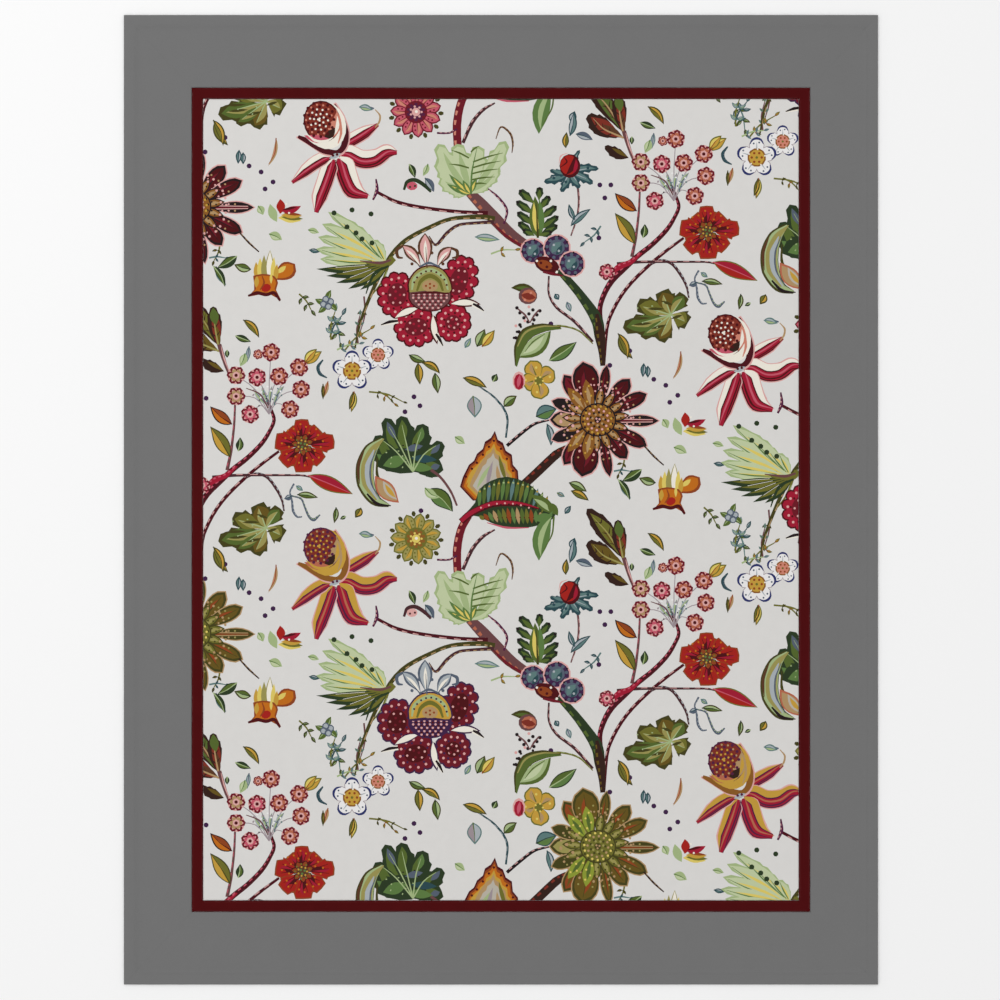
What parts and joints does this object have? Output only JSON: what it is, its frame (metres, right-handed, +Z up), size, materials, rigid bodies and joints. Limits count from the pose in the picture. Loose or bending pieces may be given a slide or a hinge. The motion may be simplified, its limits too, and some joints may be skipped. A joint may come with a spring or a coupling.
{
  "type": "throw blanket",
  "caption": "Flat throw blanket: a printed centre panel in a narrow dark trim and a wide plain border with a turned hem.",
  "frame": {"origin": "middle of the throw, on its underside", "axes": "+Z up through the cloth, +Y to the top of the print along the throw's length, +X to the print's right across its width"},
  "size_m": [1.4, 1.8, 0.0042],
  "materials": {
    "printed_cloth": "matt woven cotton, printed",
    "trim_cloth": "matt woven cotton",
    "border_cloth": "soft matt brushed cloth"
  },
  "bodies": {
    "root": {"printed_panel": "printed_cloth", "trim_bottom": "trim_cloth", "trim_right": "trim_cloth", "trim_top": "trim_cloth", "trim_left": "trim_cloth", "border_bottom": "border_cloth", "border_right": "border_cloth", "border_top": "border_cloth", "border_left": "border_cloth"}
  },
  "joints": []
}
